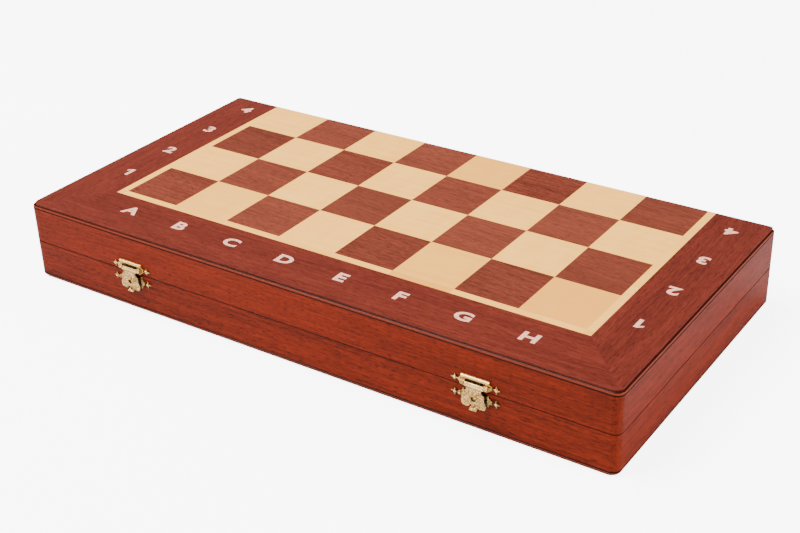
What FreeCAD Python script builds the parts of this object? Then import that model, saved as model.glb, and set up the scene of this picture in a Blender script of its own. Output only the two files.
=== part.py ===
import FreeCAD, Part
import math
import os
import re

import Sketcher

# A folding chess case of mahogany and maple: two shallow halves hinged along the back, their outer
# faces making one board of 8 by 8 squares when the case is laid open.  Inside, each half has a
# moulded tray with sixteen turned chessmen lying in it.
# Frame: X runs from the a-file to the h-file, -Y is the front with the two latches, +Z is up.  The
# origin is the middle of the footprint, on the surface that the shut case stands on.

DOC = FreeCAD.newDocument("chess_case")

# ---------------------------------------------------------------- driving dimensions, millimetres
SIZES = [
    ("case_length", 493, "case, along the hinge"),
    ("case_depth", 246.8, "case when shut, front to back"),
    ("middle_shift", 1.12, "case set back, so that hinges and latches stand out of the footprint alike"),
    ("half_height", 31, "one half, playing surface to seam"),
    ("seam_gap", 0.16, "air between the two rims"),
    ("square", 49, "side of a board square"),
    ("back_row", 45.6, "depth of the row beside the hinge, less by the saw cut"),
    ("strip_width", 6, "maple line round the squares"),
    ("veneer", 1.2, "thickness of squares, line and border"),
    ("board_core", 2.2, "thickness of the board under its veneer"),
    ("edge_step", 1.5, "how far the border stops short of the board's edge"),
    ("nose_radius", 1.4, "rounded outer edge of the board"),
    ("arris", 0.3, "eased edges at the seam"),
    ("groove", 0.5, "eased edges where a board meets its rails"),
    ("rail_thick", 10, "thickness of the four rails of a half"),
    ("front_radius", 6, "upright corners at the front"),
    ("back_radius", 2, "upright corners at the hinge side"),
    ("hinge_spread", 300, "between the middles of the two hinges"),
    ("hinge_width", 25, "length of a hinge"),
    ("hinge_offset", 0.25, "hinge axis behind the back face"),
    ("knuckle_radius", 2, "hinge knuckle"),
    ("hinge_pin_radius", 1, "hinge pin"),
    ("pin_clearance", 0.05, "round a pin, all the way"),
    ("leaf_thick", 0.9, "hinge leaf"),
    ("leaf_depth", 9, "hinge leaf, from the axis"),
    ("screw_radius", 0.9, "hinge screw's shank"),
    ("screw_length", 6, "hinge screw, head to tip"),
    ("screw_spread", 15, "between the two screws of a leaf"),
    ("latch_spread", 293, "between the middles of the two latches"),
    ("latch_shift", 1.2, "both latches stand this far to the right"),
    ("plate_thick", 0.8, "latch and catch plates, and the flap"),
    ("latch_axis_height", 34.8, "flap's pin above the ground"),
    ("latch_axis_out", 1.8, "flap's pin in front of the case"),
    ("roll_radius", 1.5, "flap's rolled top"),
    ("latch_pin_radius", 0.5, "flap's pin"),
    ("roll_width", 13.6, "flap's rolled top"),
    ("ear_width", 3, "each ear beside the roll"),
    ("ear_radius", 1.9, "ears"),
    ("bar_radius", 1.25, "rolled bar along the top of the latch plate"),
    ("finial_height", 35.4, "middle of the latch plate's two finials"),
    ("catch_height", 24.9, "middle of the catch plate's two finials"),
    ("star_rise", 0.5, "flat in the middle of a finial, above its plate"),
    ("nail_spread", 30.4, "between the two nails of a plate"),
    ("nail_radius", 0.5, "nail's shank"),
    ("nail_length", 6, "nail's shank"),
    ("tray_height", 14, "moulded tray"),
    ("tray_floor", 1, "tray under its deepest trough"),
    ("tray_fit", 0.5, "air round the tray and round each chessman"),
    ("column_pitch", 57, "between chessmen along a row"),
    ("end_wall", 5, "tray between a trough and the rail"),
    ("felt", 1.2, "felt disc under a chessman"),
    ("king_radius", 17.5, "king's foot"),
    ("king_height", 90, "king"),
    ("queen_radius", 17, "queen's foot"),
    ("queen_height", 78, "queen"),
    ("bishop_radius", 15.5, "bishop's foot"),
    ("bishop_height", 68, "bishop"),
    ("knight_radius", 15.5, "knight's foot"),
    ("knight_height", 60, "knight"),
    ("rook_radius", 15.5, "rook's foot"),
    ("rook_height", 51, "rook"),
    ("pawn_radius", 13.5, "pawn's foot"),
    ("pawn_height", 46, "pawn"),
]
SHEET = DOC.addObject("Spreadsheet::Sheet", "Sizes")
for row, (alias, value, note) in enumerate(SIZES, start=1):
    SHEET.set(f"A{row}", note)
    SHEET.set(f"B{row}", str(value))
    SHEET.setAlias(f"B{row}", alias)
DOC.recompute()
ALIASES = {alias for alias, value, note in SIZES}

NODES = {}  # name of the sub-part: its document object


def cell(alias):
    """The number in one cell of the sheet."""
    return float(getattr(SHEET, alias))


def formula(text):
    """A formula in plain aliases, with each alias pointed at the sheet."""
    return re.sub(r"[a-z_]+", lambda m: "Sizes." + m.group() if m.group() in ALIASES else m.group(), text)


def bind(thing, properties, at=None):
    """Binds properties, and the placement's x, y and z, to formulas of the sheet."""
    for name, text in properties.items():
        thing.setExpression(name, formula(str(text)))
    for axis, text in zip("xyz", at or ()):
        thing.setExpression("Placement.Base." + axis, formula(str(text)))
    return thing


def keep(name, thing):
    """Makes a document object a sub-part with a file of its own, and sets it in the finished frame."""
    thing.Label = name
    x, y, z = thing.Placement.Base
    bind(thing, {}, (f"{x:.6f}", f"{y:.6f}+middle_shift", f"{z:.6f}"))
    NODES[name] = thing
    return thing


def box(name, size, at):
    thing = DOC.addObject("Part::Box", name)
    return bind(thing, dict(zip(("Length", "Width", "Height"), size)), at)


def cylinder(name, radius, height, at, direction=(0, 0, 1)):
    thing = DOC.addObject("Part::Cylinder", name)
    thing.Placement = FreeCAD.Placement(
        FreeCAD.Vector(), FreeCAD.Rotation(FreeCAD.Vector(0, 0, 1), FreeCAD.Vector(*direction)))
    return bind(thing, {"Radius": radius, "Height": height}, at)


def trapezoid(name, low, high, depth, height, at):
    """A prism whose plan is a trapezoid: low and high are its x ranges at the front and the back."""
    thing = DOC.addObject("Part::Wedge", name)
    return bind(thing, {
        "Xmin": low[0], "Xmax": low[1], "X2min": high[0], "X2max": high[1],
        "Ymin": 0, "Ymax": depth, "Zmin": 0, "Z2min": 0, "Zmax": height, "Z2max": height,
    }, at)


def cut(name, base, tool):
    thing = DOC.addObject("Part::Cut", name)
    thing.Base, thing.Tool = base, tool
    return thing


def common(name, base, tool):
    thing = DOC.addObject("Part::Common", name)
    thing.Base, thing.Tool = base, tool
    return thing


def fuse(name, things):
    thing = DOC.addObject("Part::MultiFuse", name)
    thing.Shapes = things
    return thing


def group(name, things):
    """Separate solids that share one sub-part."""
    thing = DOC.addObject("Part::Compound", name)
    thing.Links = things
    return thing


def feature(name, shape):
    """A free shape, made with Part's own functions from sizes read off the sheet."""
    thing = DOC.addObject("Part::Feature", name)
    thing.Shape = shape
    return thing


def round_edges(kind, name, base, chosen):
    """Fillets or chamfers the edges of base that chosen(edge) gives a size for."""
    DOC.recompute()
    thing = DOC.addObject(kind, name)
    thing.Base = base
    sizes = [(n, chosen(edge)) for n, edge in enumerate(base.Shape.Edges, start=1)]
    thing.Edges = [(n, amount, amount) for n, amount in sizes if amount]
    return thing


def upright_radius(edge):
    """Radius of an upright edge of the case: large at the front, small at the hinge side."""
    low, high = edge.BoundBox.ZMin, edge.BoundBox.ZMax
    if high - low < 0.5 or edge.BoundBox.XLength > 0.01 or edge.BoundBox.YLength > 0.01:
        return 0
    return cell("front_radius") if edge.BoundBox.YMin < 0 else cell("back_radius")


def level_edge(height, amount):
    """Chooses the outline edges at one height, all but those along the hinge side."""
    def choose(edge):
        level = abs(edge.BoundBox.ZMin - height) < 0.01 and abs(edge.BoundBox.ZMax - height) < 0.01
        clear_of_hinges = edge.BoundBox.YMin < cell("case_depth") / 2 - cell("back_radius") - 0.01
        return amount if level and clear_of_hinges else 0
    return choose


def rounded_block(name, inset, thick, low):
    """A block with the case's rounded plan, a constant inset inside it."""
    plain = box(name + "_plain", (f"case_length-2*{inset}", f"case_depth-{inset}", thick),
                (f"-case_length/2+{inset}", f"-case_depth/2+{inset}", low))
    return round_edges("Part::Fillet", name + "_rounded", plain, upright_radius)


# ---------------------------------------------------------------- rails: four mitred lengths a half
RIM = {"lower": "half_height-seam_gap/2", "upper": "half_height+seam_gap/2"}
RAIL_LOW = {"lower": "veneer+board_core", "upper": "half_height+seam_gap/2"}
RAIL_HIGH = "half_height-seam_gap/2-veneer-board_core"
HINGE_Y = "(case_depth/2+hinge_offset)"


def hinge_middles():
    return (("left", "-hinge_spread/2"), ("right", "hinge_spread/2"))


def hinge_mortises(half):
    """What is cut out of a back rail: a shallow bed for each leaf, room for its knuckles, pilot holes."""
    sign = -1 if half == "lower" else 1
    tools = []
    for side, middle in hinge_middles():
        name = f"{half}_{side}_mortise"
        bed_low = "half_height-seam_gap/2-leaf_thick" if half == "lower" else "half_height+seam_gap/2"
        tools.append(box(name + "_bed", ("hinge_width+0.2", "leaf_depth+1", "leaf_thick"),
                         (f"{middle}-hinge_width/2-0.1", f"{HINGE_Y}-leaf_depth-0.1", bed_low)))
        tools.append(cylinder(name + "_knuckles", "knuckle_radius+0.3", "hinge_width+0.2",
                              (f"{middle}-hinge_width/2-0.1", HINGE_Y, "half_height"), (1, 0, 0)))
        for way in (-1, 1):
            tools.append(cylinder(f"{name}_pilot{way}", "screw_radius+pin_clearance", "screw_length",
                                  (f"{middle}+{way}*screw_spread/2", f"{HINGE_Y}-leaf_depth*0.62",
                                   RIM[half]), (0, 0, sign)))
    return fuse(half + "_mortises", tools)


def nail_holes(half):
    """Pilot holes in a front rail for the nails of its two latch or catch plates."""
    height = "catch_height" if half == "lower" else "finial_height"
    tools = []
    for side in (-1, 1):
        for way in (-1, 1):
            tools.append(cylinder(f"{half}_nail_hole_{side}_{way}", "nail_radius+pin_clearance",
                                  "nail_length+0.2",
                                  (f"{side}*latch_spread/2+latch_shift+{way}*nail_spread/2",
                                   "-case_depth/2", height), (0, 1, 0)))
    return fuse(half + "_nail_holes", tools)


def make_rails(half):
    low = RAIL_LOW[half]
    block = rounded_block(half + "_rail_block", "0", RAIL_HIGH, low)
    DOC.recompute()
    levels = (block.Shape.BoundBox.ZMin, block.Shape.BoundBox.ZMax)
    eases = (cell("groove"), cell("arris")) if half == "lower" else (cell("arris"), cell("groove"))
    choosers = [level_edge(level, ease) for level, ease in zip(levels, eases)]
    eased = round_edges("Part::Chamfer", half + "_rail_eased", block,
                        lambda edge: max(choose(edge) for choose in choosers))
    along = ("0", "case_length"), ("rail_thick", "case_length-rail_thick")
    left, front = "-case_length/2", "-case_depth/2"
    front_blank = trapezoid(half + "_front_blank", *along, "rail_thick", RAIL_HIGH, (left, front, low))
    back_blank = trapezoid(half + "_back_blank", *reversed(along), "rail_thick", RAIL_HIGH,
                           (left, "case_depth/2-rail_thick", low))
    ends = fuse(half + "_long_blanks", [front_blank, back_blank])
    blanks = {"front": front_blank, "back": back_blank}
    for side, x in (("left", left), ("right", "case_length/2-rail_thick")):
        plank = box(f"{half}_{side}_plank", ("rail_thick", "case_depth", RAIL_HIGH), (x, front, low))
        blanks[side] = cut(f"{half}_{side}_blank", plank, ends)
    for side, blank in blanks.items():
        rail = common(f"{half}_{side}_shaped", eased, blank)
        if side == "back":
            rail = cut(f"{half}_{side}_mortised", rail, hinge_mortises(half))
        if side == "front":
            rail = cut(f"{half}_{side}_drilled", rail, nail_holes(half))
        keep(f"{half}_{side}_rail", rail)


# ---------------------------------------------------------------- board: core, border, line, squares
def make_board(half):
    """The core glued on the rails, with the veneer that shows on its outer face."""
    outward = -1 if half == "lower" else 1
    core_low = "veneer" if half == "lower" else "2*half_height-veneer-board_core"
    skin_low = "0" if half == "lower" else "2*half_height-veneer"
    block = rounded_block(half + "_core_block", "0", "board_core", core_low)
    DOC.recompute()
    low, high = block.Shape.BoundBox.ZMin, block.Shape.BoundBox.ZMax
    outer, inner = (low, high) if outward < 0 else (high, low)
    nosed = round_edges("Part::Fillet", half + "_core_nosed", block,
                        level_edge(outer, cell("nose_radius")))
    keep(half + "_board_core",
         round_edges("Part::Chamfer", half + "_core_eased", nosed, level_edge(inner, cell("groove"))))

    side_border = "(case_length/2-4*square-strip_width)"
    front_border = "(case_depth-3*square-back_row-strip_width)"
    left, front = "-case_length/2", "-case_depth/2"
    skin = rounded_block(half + "_skin_block", "edge_step", "veneer", skin_low)
    front_border_blank = trapezoid(
        half + "_front_border_blank", ("0", "case_length"), (side_border, f"case_length-{side_border}"),
        front_border, "veneer", (left, front, skin_low))
    borders = [common(half + "_front_border", skin, front_border_blank)]
    for side, x in (("left", left), ("right", f"case_length/2-{side_border}")):
        plank = box(f"{half}_{side}_border_plank", (side_border, "case_depth", "veneer"),
                    (x, front, skin_low))
        mitred = cut(f"{half}_{side}_border_mitred", plank, front_border_blank)
        borders.append(common(f"{half}_{side}_border", skin, mitred))
    keep(half + "_border_veneer", group(half + "_borders", borders))

    line_left, line_front = f"{left}+{side_border}", f"{front}+{front_border}"
    line_span = "8*square+2*strip_width"
    front_line = trapezoid(half + "_front_line", ("0", line_span),
                           ("strip_width", f"{line_span}-strip_width"), "strip_width", "veneer",
                           (line_left, line_front, skin_low))
    lines = [front_line]
    for side, x in (("left", line_left), ("right", "4*square")):
        plank = box(f"{half}_{side}_line_plank", ("strip_width", "3*square+back_row+strip_width", "veneer"),
                    (x, line_front, skin_low))
        lines.append(cut(f"{half}_{side}_line", plank, front_line))

    tiles = {"dark": [], "light": lines}
    for file in range(8):
        for row in range(4):
            rank = row if half == "upper" else 7 - row  # counted from 0 at white's side
            wood = "dark" if (file + rank) % 2 == 0 else "light"
            depth = "back_row" if row == 3 else "square"
            tiles[wood].append(box(
                f"{half}_{'abcdefgh'[file]}{rank + 1}", ("square", depth, "veneer"),
                (f"({file}-4)*square", f"case_depth/2-back_row-(3-{row})*square", skin_low)))
    for wood, boxes in tiles.items():
        keep(f"{half}_{wood}_squares", group(f"{half}_{wood}_tiles", boxes))


# ---------------------------------------------------------------- two butt hinges let into the rims
def make_hinges():
    outer_knuckle = "(hinge_width-8.2)/2-0.2"
    leaves, screws = {"lower": [], "upper": []}, {"lower": [], "upper": []}
    pins = []
    for side, middle in hinge_middles():
        start = f"{middle}-hinge_width/2"
        knuckles = {
            "lower": ((start, outer_knuckle), (f"{middle}+4.3", outer_knuckle)),
            "upper": ((f"{middle}-4.1", "8.2"),),
        }
        for half in ("lower", "upper"):
            name = f"{half}_{side}_leaf"
            low = "half_height-seam_gap/2-leaf_thick" if half == "lower" else "half_height+seam_gap/2"
            solids = [box(name + "_plate", ("hinge_width", "leaf_depth-knuckle_radius-0.4", "leaf_thick"),
                          (start, f"{HINGE_Y}-leaf_depth", low))]
            for n, (x, width) in enumerate(knuckles[half]):
                solids.append(cylinder(f"{name}_knuckle{n}", "knuckle_radius", width,
                                       (x, HINGE_Y, "half_height"), (1, 0, 0)))
                solids.append(box(f"{name}_neck{n}", (width, "leaf_depth-hinge_pin_radius", "leaf_thick"),
                                  (x, f"{HINGE_Y}-leaf_depth", low)))
            holes = [cylinder(name + "_bore", "hinge_pin_radius+pin_clearance", "hinge_width+2",
                              (f"{start}-1", HINGE_Y, "half_height"), (1, 0, 0))]
            rim, sign = RIM[half], (-1 if half == "lower" else 1)
            for way in (-1, 1):
                where = (f"{middle}+{way}*screw_spread/2", f"{HINGE_Y}-leaf_depth*0.62", rim)
                holes.append(screw(f"{name}_hole{way}", where, sign, "screw_radius+pin_clearance"))
                screws[half].append(screw(f"{name}_screw{way}", where, sign, "screw_radius"))
            leaves[half].append(cut(name, fuse(name + "_solid", solids), fuse(name + "_holes", holes)))
        pins.append(cylinder(f"{side}_hinge_pin", "hinge_pin_radius", "hinge_width",
                             (start, HINGE_Y, "half_height"), (1, 0, 0)))
    for half in ("lower", "upper"):
        keep(half + "_hinge_leaves", group(half + "_leaves", leaves[half]))
    keep("hinge_pins", group("pins", pins))
    return screws


def screw(name, where, sign, radius):
    """A countersunk screw whose head is flush with the rim; sign is the way that it points."""
    shank = cylinder(name + "_shank", radius, "screw_length-0.1", where, (0, 0, sign))
    head = cylinder(name + "_head", f"{radius}+0.8", "leaf_thick*0.6", where, (0, 0, sign))
    return fuse(name, [shank, head])


# ---------------------------------------------------------------- two stamped brass latches
def mirrored_outline(points):
    """A closed outline from its right-hand points, top to bottom; a third number is a segment's bulge."""
    right = [(x, z) for x, z, *bulge in points]
    bulges = [(bulge[0] if bulge else 0) for x, z, *bulge in points[:-1]]
    left = [(-x, z) for x, z in reversed(right)]
    corners = right + left
    turns = bulges + [0] + list(reversed(bulges)) + [0]
    edges = []
    for n, (start, turn) in enumerate(zip(corners, turns)):
        end = corners[(n + 1) % len(corners)]
        if math.dist(start, end) < 1e-6:
            continue
        a, b = FreeCAD.Vector(start[0], 0, start[1]), FreeCAD.Vector(end[0], 0, end[1])
        if turn:
            across = FreeCAD.Vector(-(b - a).z, 0, (b - a).x)
            across.normalize()
            edges.append(Part.Arc(a, (a + b) / 2 + across * turn, b).toShape())
        else:
            edges.append(Part.LineSegment(a, b).toShape())
    return Part.Face(Part.Wire(edges))


def stamped(points, back, thick):
    """A plate cut to that outline; back is how far its rear face stands in front of the case."""
    front_face = -cell("case_depth") / 2
    plate = mirrored_outline(points).extrude(FreeCAD.Vector(0, -thick, 0))
    plate.translate(FreeCAD.Vector(0, front_face - back, 0))
    return plate


def finial(z):
    """Right-hand points of a plate's end: a bead on a narrow neck, then a star of concave sides."""
    middle = cell("nail_spread") / 2
    return [(11.3, z + 1.4, -0.3), (middle - 2.3, z + 1.1, -0.8), (middle, z + 3.9, -1.25),
            (middle + 3.3, z, -1.25), (middle, z - 3.9, -0.8), (middle - 2.3, z - 1.1, -0.3), (11.3, z - 1.4)]


def facets(z):
    """What stands up on a plate's ends: each star's four ridges, flat in the middle, and a bead beside it."""
    front = -cell("case_depth") / 2 - cell("plate_thick")
    raised = []
    for side in (-1, 1):
        middle = FreeCAD.Vector(side * cell("nail_spread") / 2, front, z)
        rings = []
        for tip, notch, rise in ((3.0, 1.2, 0), (1.4, 0.99, cell("star_rise"))):
            reaches = (tip, notch) * 4
            corners = [middle + FreeCAD.Vector(reach * math.cos(math.pi / 4 * n), -rise,
                                               reach * math.sin(math.pi / 4 * n))
                       for n, reach in enumerate(reaches)]
            rings.append(Part.makePolygon(corners + corners[:1]))
        raised.append(Part.makeLoft(rings, True, True))
        raised.append(Part.makeSphere(1.4, FreeCAD.Vector(side * 11.7, front + 0.3, z)))
    return raised


def behind_face():
    """A block that fills the case behind its front face: no plate reaches into it."""
    return Part.makeBox(60, 10, 60, FreeCAD.Vector(-30, -cell("case_depth") / 2, 0))


def rod(radius, width, y, z, x=None):
    """A round bar along X, at y in front of the case."""
    start = -width / 2 if x is None else x
    return Part.makeCylinder(radius, width, FreeCAD.Vector(start, -cell("case_depth") / 2 - y, z),
                             FreeCAD.Vector(1, 0, 0))


def make_latches():
    thick, axis_out, axis_z = cell("plate_thick"), cell("latch_axis_out"), cell("latch_axis_height")
    roll, pin, width = cell("roll_radius"), cell("latch_pin_radius"), cell("roll_width")
    ear, clear = cell("ear_width"), cell("pin_clearance")
    finial_z, catch_z = cell("finial_height"), cell("catch_height")
    front_face = -cell("case_depth") / 2

    ear_radius, bar = cell("ear_radius"), cell("bar_radius")
    ear_starts = (width / 2 + 0.15, -width / 2 - 0.15 - ear)
    ears = [rod(ear_radius, ear, axis_out, axis_z, start) for start in ear_starts]
    ear_feet = [Part.makeBox(ear, axis_out, 2 * ear_radius,
                             FreeCAD.Vector(start, front_face - axis_out, axis_z - ear_radius))
                for start in ear_starts]
    top_bar = rod(bar, 20.6, 0.7, axis_z + 3.8)
    slot = Part.makeBox(14, 4, 0.6, FreeCAD.Vector(-7, front_face - 3, axis_z + roll + 0.2))
    latch_plate = stamped([(10.3, axis_z + 5.2), (10.4, axis_z + 3.2, -0.2), *finial(finial_z),
                           (10.6, axis_z - 1.6, -0.1), (8.6, axis_z - 3.4)], 0, thick)
    # The plate is cut away behind the roll and above it, so the flap can turn
    latch_plate = latch_plate.cut([rod(roll + 0.25, width + 0.2, axis_out, axis_z), slot])
    latch_plate = latch_plate.fuse(ears + ear_feet + [top_bar] + facets(finial_z)).removeSplitter()
    latch_plate = latch_plate.cut([rod(pin + clear, 40, axis_out, axis_z), behind_face()])

    flap = stamped([(width / 2, axis_z), (width / 2, axis_z - 1.7), (5.3, axis_z - 2.4),
                    (5.5, axis_z - 3.6, -0.2), (7.6, axis_z - 5.6, 0.2), (7.5, axis_z - 8.6, -0.2),
                    (8.5, axis_z - 11.2, 0.3), (8.9, axis_z - 13.6, 0.9), (6.2, axis_z - 16, 0.5),
                    (2.9, axis_z - 15.2), (2.9, axis_z - 14)], axis_out + roll - thick, thick)
    eye = Part.makeCylinder(1.9, 4, FreeCAD.Vector(0, front_face - axis_out - 2, catch_z),
                            FreeCAD.Vector(0, 1, 0))
    rim = Part.makeCylinder(2.8, thick + 0.4, FreeCAD.Vector(0, front_face - axis_out - roll - 0.4, catch_z),
                            FreeCAD.Vector(0, 1, 0))
    flap = flap.fuse([rod(roll, width, axis_out, axis_z), rim]).removeSplitter()
    flap = flap.cut([rod(pin + clear, 40, axis_out, axis_z), eye])

    catch_plate = stamped([(9.4, catch_z + 4.2, -0.4), (10.6, catch_z + 1.7), *finial(catch_z),
                           (10.6, catch_z - 1.8, -0.2), (9.4, catch_z - 4.3, 0.3), (3.4, catch_z - 5)],
                          0, thick)
    # The button stops just short of the flap's back, so that the flap swings past it
    button = Part.makeCone(1.5, 1.0, axis_out + roll - 2 * thick - 0.1,
                           FreeCAD.Vector(0, front_face - thick, catch_z), FreeCAD.Vector(0, -1, 0))
    catch_plate = catch_plate.fuse([button] + facets(catch_z))
    tab_path = [(thick - 0.3, catch_z - 3.1), (thick - 0.2, catch_z - 4.9), (thick + 0.9, catch_z - 6.7),
                (thick + 3.4, catch_z - 8.1)]
    catch_plate = catch_plate.fuse(bent_strip(tab_path, 0.6, 5.2)).removeSplitter()
    catch_plate = catch_plate.cut(behind_face())

    seat = front_face - thick - cell("star_rise")
    nail_head = Part.makeSphere(1.15, FreeCAD.Vector(0, seat + 0.55, 0))
    nail_head = nail_head.common(Part.makeBox(4, 4, 4, FreeCAD.Vector(-2, seat - 4, -2)))
    shank = Part.makeCylinder(cell("nail_radius"), cell("nail_length") + front_face - seat,
                              FreeCAD.Vector(0, seat, 0), FreeCAD.Vector(0, 1, 0))
    nail = nail_head.fuse(shank)
    hole = Part.makeCylinder(cell("nail_radius") + clear, 4, FreeCAD.Vector(0, front_face - 3, 0),
                             FreeCAD.Vector(0, 1, 0))
    nails = {"latch": [], "catch": []}
    plates = {"latch": [], "catch": []}
    pin_rods = []
    for side, way_out in (("left", -1), ("right", 1)):
        middle = way_out * cell("latch_spread") / 2 + cell("latch_shift")
        for kind, plate, height in (("latch", latch_plate, finial_z), ("catch", catch_plate, catch_z)):
            for way in (-cell("nail_spread") / 2, cell("nail_spread") / 2):
                plate = plate.cut(hole.translated(FreeCAD.Vector(way, 0, height)))
                nails[kind].append(nail.translated(FreeCAD.Vector(middle + way, 0, height)))
            plates[kind].append(plate.translated(FreeCAD.Vector(middle, 0, 0)))
        over = FreeCAD.Vector(middle, 0, 0)
        keep(side + "_latch_flap", feature(side + "_latch_flap", flap.translated(over)))
        pin_rods.append(rod(pin, width + 2 * ear + 0.3, axis_out, axis_z).translated(over))
    keep("latch_plates", feature("latch_plates", Part.makeCompound(plates["latch"])))
    keep("catch_plates", feature("catch_plates", Part.makeCompound(plates["catch"])))
    keep("latch_pins", feature("latch_pins", Part.makeCompound(pin_rods)))
    return {half: feature(half + "_nails", Part.makeCompound(nails[kind]))
            for half, kind in (("lower", "catch"), ("upper", "latch"))}


def bent_strip(path, thick, width):
    """A strip bent along a path of (distance in front of the case, height), thickened outwards."""
    front_face = -cell("case_depth") / 2
    near = [FreeCAD.Vector(-width / 2, front_face - out, z) for out, z in path]
    far = []
    for n, point in enumerate(near):
        before, after = near[max(n - 1, 0)], near[min(n + 1, len(near) - 1)]
        along = (after - before).normalize()
        far.append(point + FreeCAD.Vector(0, along.z, -along.y) * thick)
    corners = near + list(reversed(far))
    return Part.Face(Part.makePolygon(corners + [corners[0]])).extrude(FreeCAD.Vector(width, 0, 0))


# ---------------------------------------------------------------- chessmen, turned and carved
# Each profile runs from the middle of the foot to the top as (radius, height) in millimetres for a
# man of the stated foot and height.  A third number bulges the segment that ends there.
def foot_profile(r):
    """The moulded foot that every man has: a round, a step, an ogee and a bead."""
    return [(0, 0), (0.94 * r, 0), (0.95 * r, 0.25 * r, 0.05 * r), (0.84 * r, 0.28 * r),
            (0.66 * r, 0.50 * r, -0.05 * r), (0.70 * r, 0.53 * r), (0.66 * r, 0.61 * r, 0.045 * r),
            (0.56 * r, 0.63 * r)]


def collar(radius, z, thick, inner):
    """One turned ring with a rounded rim, from the neck's radius and back to inner."""
    return [(radius, z + 0.15 * thick), (radius, z + 0.85 * thick, 0.3 * thick), (inner, z + thick)]


def pawn_profile(r, top):
    neck, head = 0.56 * top, 0.178 * top
    middle = top - head
    return foot_profile(r) + [(0.36 * r, neck, -0.10 * r), *collar(0.63 * r, neck, 0.055 * top, 0.36 * r),
                              (0.40 * head, middle - 0.916 * head), (head, middle, 0.22 * head),
                              (0.05 * r, top, 0.26 * head), (0, top)]


def rook_profile(r, top):
    neck = 0.66 * top
    return foot_profile(r) + [(0.50 * r, neck, -0.06 * r), *collar(0.68 * r, neck, 0.05 * top, 0.58 * r),
                              (0.70 * r, 0.80 * top, -0.04 * r), (0.74 * r, 0.82 * top), (0.74 * r, top),
                              (0.54 * r, top), (0.50 * r, 0.90 * top), (0, 0.90 * top)]


def bishop_profile(r, top):
    neck = 0.55 * top
    return foot_profile(r) + [(0.33 * r, neck, -0.10 * r), *collar(0.66 * r, neck, 0.035 * top, 0.42 * r),
                              *collar(0.52 * r, 0.59 * top, 0.03 * top, 0.36 * r),
                              (0.36 * r, 0.635 * top), (0.61 * r, 0.74 * top, 0.05 * r),
                              (0.13 * r, 0.925 * top, 0.09 * r), (0.16 * r, 0.965 * top, 0.06 * r),
                              (0.04 * r, top, 0.03 * r), (0, top)]


def queen_profile(r, top):
    neck = 0.58 * top
    return foot_profile(r) + [(0.34 * r, neck, -0.12 * r), *collar(0.66 * r, neck, 0.03 * top, 0.48 * r),
                              *collar(0.55 * r, 0.615 * top, 0.028 * top, 0.38 * r),
                              (0.37 * r, 0.66 * top), (0.68 * r, 0.88 * top, -0.05 * r),
                              (0.70 * r, 0.92 * top), (0.56 * r, 0.92 * top), (0.48 * r, 0.90 * top),
                              (0.15 * r, 0.94 * top, 0.04 * r), (0.16 * r, 0.97 * top, 0.04 * r),
                              (0.04 * r, top, 0.03 * r), (0, top)]


def king_profile(r, top):
    neck = 0.58 * top
    return foot_profile(r) + [(0.36 * r, neck, -0.13 * r), *collar(0.68 * r, neck, 0.028 * top, 0.50 * r),
                              *collar(0.57 * r, 0.612 * top, 0.026 * top, 0.40 * r),
                              (0.40 * r, 0.655 * top), (0.62 * r, 0.83 * top, -0.03 * r),
                              (0.70 * r, 0.845 * top, 0.01 * r), (0.62 * r, 0.862 * top, 0.03 * r),
                              (0.20 * r, 0.905 * top, 0.06 * r), (0.15 * r, 0.915 * top), (0, 0.915 * top)]


def knight_profile(r, top):
    return foot_profile(r) + [(0.50 * r, 0.24 * top, -0.05 * r), (0.62 * r, 0.27 * top, 0.02 * r),
                              (0.60 * r, 0.29 * top), (0, 0.29 * top)]


PROFILES = {"king": king_profile, "queen": queen_profile, "bishop": bishop_profile,
            "knight": knight_profile, "rook": rook_profile, "pawn": pawn_profile}
WIDEST_HEAD = {"king": 0.72, "queen": 0.72, "bishop": 0.68, "knight": 0.98, "rook": 0.76, "pawn": 0.66}


def turned_body(kind):
    """A PartDesign body: the profile as a sketch on the XZ plane, revolved about the upright axis."""
    body = DOC.addObject("PartDesign::Body", kind + "_body")
    plane = next(f for f in body.Origin.OriginFeatures if f.Role == "XZ_Plane")
    sketch = body.newObject("Sketcher::SketchObject", kind + "_profile")
    sketch.AttachmentSupport = [(plane, "")]
    sketch.MapMode = "FlatFace"
    points = PROFILES[kind](cell(kind + "_radius"), cell(kind + "_height"))
    outline = [FreeCAD.Vector(radius, height, 0) for radius, height, *bulge in points]
    for n in range(1, len(outline)):
        start, end = outline[n - 1], outline[n]
        bulge = points[n][2] if len(points[n]) > 2 else 0
        if bulge:
            across = FreeCAD.Vector((end - start).y, -(end - start).x, 0).normalize()
            sketch.addGeometry(Part.Arc(start, (start + end) / 2 + across * bulge, end), False)
        else:
            sketch.addGeometry(Part.LineSegment(start, end), False)
    sketch.addGeometry(Part.LineSegment(outline[-1], outline[0]), False)
    # A sketched arc runs anticlockwise, so one that bulges inwards has its ends the other way round
    hollow = [len(point) > 2 and point[2] < 0 for point in points[1:]] + [False]
    for n in range(len(outline)):
        following = (n + 1) % len(outline)
        ends = (1 if hollow[n] else 2, 2 if hollow[following] else 1)
        sketch.addConstraint(Sketcher.Constraint("Coincident", n, ends[0], following, ends[1]))
    DOC.recompute()
    turned = body.newObject("PartDesign::Revolution", kind + "_turned")
    turned.Profile = sketch
    turned.ReferenceAxis = (sketch, ["V_Axis"])
    turned.Angle = 360
    DOC.recompute()
    return body


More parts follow.
